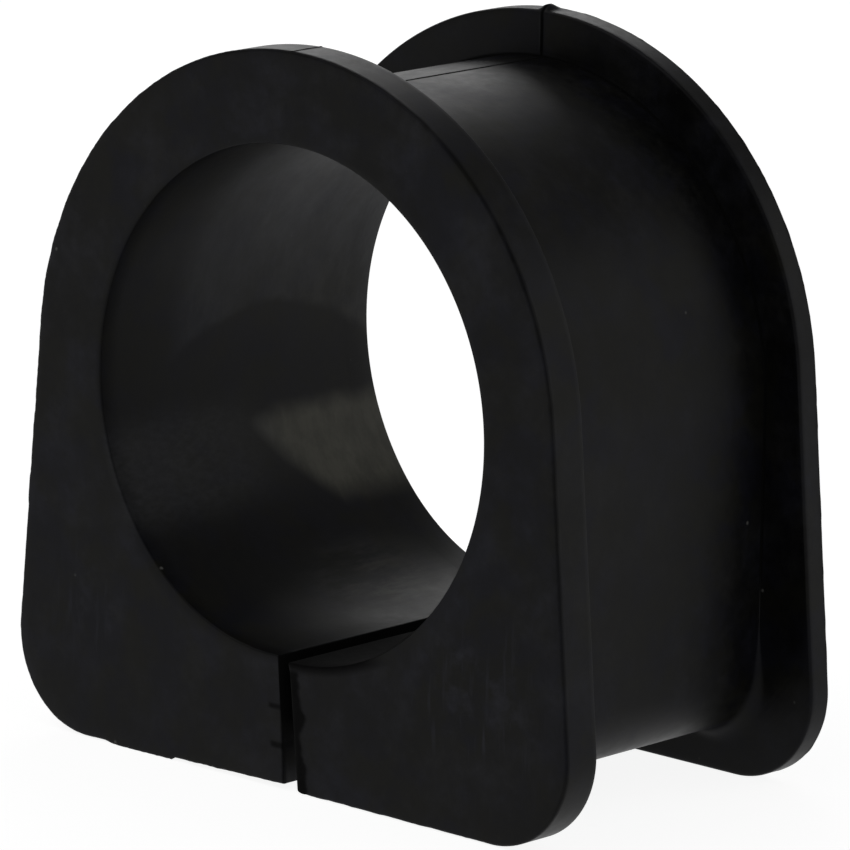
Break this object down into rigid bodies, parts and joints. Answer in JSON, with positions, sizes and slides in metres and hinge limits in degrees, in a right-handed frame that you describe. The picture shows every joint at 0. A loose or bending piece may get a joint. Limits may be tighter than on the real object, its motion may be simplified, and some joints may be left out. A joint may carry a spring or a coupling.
{
  "type": "steering rack bushing",
  "caption": "Split rubber saddle bushing: a wide bore in a D-shaped body, with a flange at each end and a groove between them for the clamp bracket.",
  "frame": {"origin": "centre of the bore at half its length", "axes": "+Y along the bore from the thick flange to the thin one, +Z from the flat feet towards the round top, +X to the right seen from the thick flange"},
  "size_m": [0.072, 0.0376, 0.0716],
  "materials": {
    "rubber": "satin"
  },
  "bodies": {
    "root": {"rack_bushing": "rubber"}
  },
  "joints": []
}
